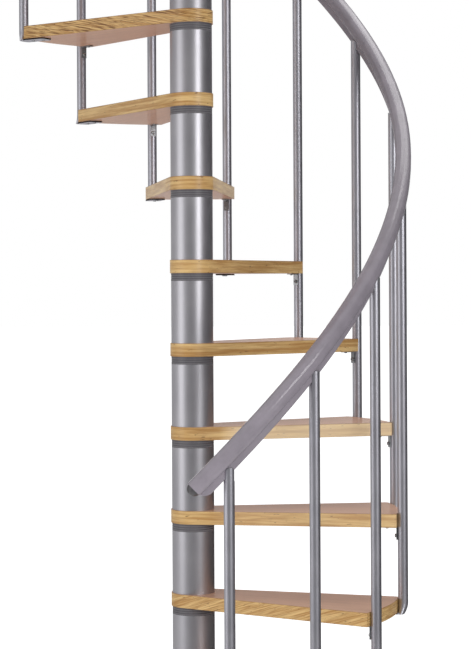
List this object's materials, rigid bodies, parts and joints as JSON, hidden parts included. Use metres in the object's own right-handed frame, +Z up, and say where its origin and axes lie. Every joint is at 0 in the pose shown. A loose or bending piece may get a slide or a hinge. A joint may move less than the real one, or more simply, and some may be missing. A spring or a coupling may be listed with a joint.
{
  "type": "spiral staircase",
  "caption": "Spiral staircase: timber wedge treads strung on a sleeved steel column, tube balusters at the outer ends and a helical handrail.",
  "frame": {"origin": "on the column's axis, on the underside of the base plate, which is floor level", "axes": "+Z up along the column; the stair climbs counter-clockwise seen from above, from the first baluster near -Y, by +X and +Y, to the landing near -X"},
  "size_m": [1.1967, 1.184, 3.7186],
  "materials": {
    "beech": "satin lacquered beech, warm pinkish faces and yellower edges",
    "painted_steel": "silver-grey satin powder coat",
    "baluster_steel": "silver-grey satin powder coat",
    "dark_plastic": "dark grey moulded plastic",
    "rail_plastic": "mid grey satin plastic",
    "cap_plastic": "dark grey moulded plastic",
    "zinc_steel": "zinc plated"
  },
  "bodies": {
    "root": {"baluster_01": "baluster_steel", "baluster_02": "baluster_steel", "baluster_03": "baluster_steel", "baluster_04": "baluster_steel", "baluster_05": "baluster_steel", "baluster_06": "baluster_steel", "baluster_07": "baluster_steel", "baluster_08": "baluster_steel", "baluster_09": "baluster_steel", "baluster_10": "baluster_steel", "baluster_11": "baluster_steel", "baluster_12": "baluster_steel", "base_plate": "painted_steel", "centre_post": "zinc_steel", "column_cap": "painted_steel", "front_brackets": "zinc_steel", "handrail": "rail_plastic", "landing_board": "beech", "levelling_rings": "dark_plastic", "rail_caps": "cap_plastic", "sleeve_01": "painted_steel", "sleeve_02": "painted_steel", "sleeve_03": "painted_steel", "sleeve_04": "painted_steel", "sleeve_05": "painted_steel", "sleeve_06": "painted_steel", "sleeve_07": "painted_steel", "sleeve_08": "painted_steel", "sleeve_09": "painted_steel", "sleeve_10": "painted_steel", "sleeve_11": "painted_steel", "sleeve_12": "painted_steel", "tread_01": "beech", "tread_02": "beech", "tread_03": "beech", "tread_04": "beech", "tread_05": "beech", "tread_06": "beech", "tread_07": "beech", "tread_08": "beech", "tread_09": "beech", "tread_10": "beech", "tread_11": "beech"}
  },
  "joints": []
}
